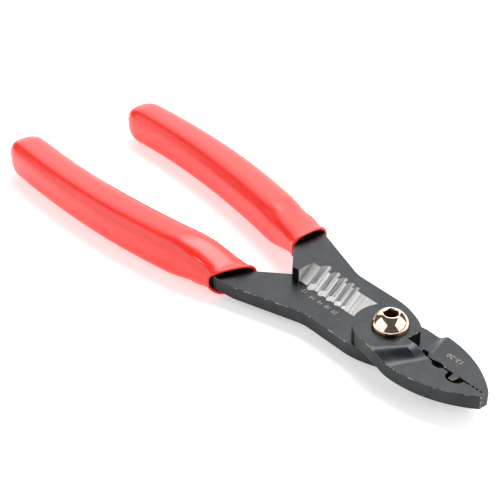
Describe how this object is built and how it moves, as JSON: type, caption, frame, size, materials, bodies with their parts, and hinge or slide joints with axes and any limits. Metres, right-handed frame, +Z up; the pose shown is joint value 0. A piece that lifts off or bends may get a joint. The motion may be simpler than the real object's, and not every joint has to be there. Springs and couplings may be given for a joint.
{
  "type": "wire stripper",
  "caption": "Plier-type wire stripper and terminal crimper: joggled black steel levers on one bolt, gauge notches behind the pivot, crimping jaws in front, dipped vinyl grips.",
  "frame": {"origin": "on the pivot axis, in the plane that the closed tool lies on, at the bolt's lower end", "axes": "+X to the jaw tips, +Z up along the pivot axis, +Y to the side of the upper lever's handle"},
  "size_m": [0.209, 0.0658, 0.0165],
  "materials": {
    "black_oxide_steel": "satin",
    "red_vinyl": "satin",
    "copper_plate": "polished",
    "zinc_plate": "satin"
  },
  "bodies": {
    "lower_half": {"lower_lever": "black_oxide_steel", "lower_grip": "red_vinyl", "pivot_bolt": "copper_plate", "pivot_washer": "zinc_plate", "pivot_nut": "zinc_plate"},
    "upper_half": {"upper_lever": "black_oxide_steel", "upper_grip": "red_vinyl"}
  },
  "joints": [
    {"name": "pivot", "type": "hinge", "parent": "lower_half", "child": "upper_half", "pos_m": [0, 0, 0], "axis": [0, 0, 1], "range_deg": [-28, 0]}
  ]
}
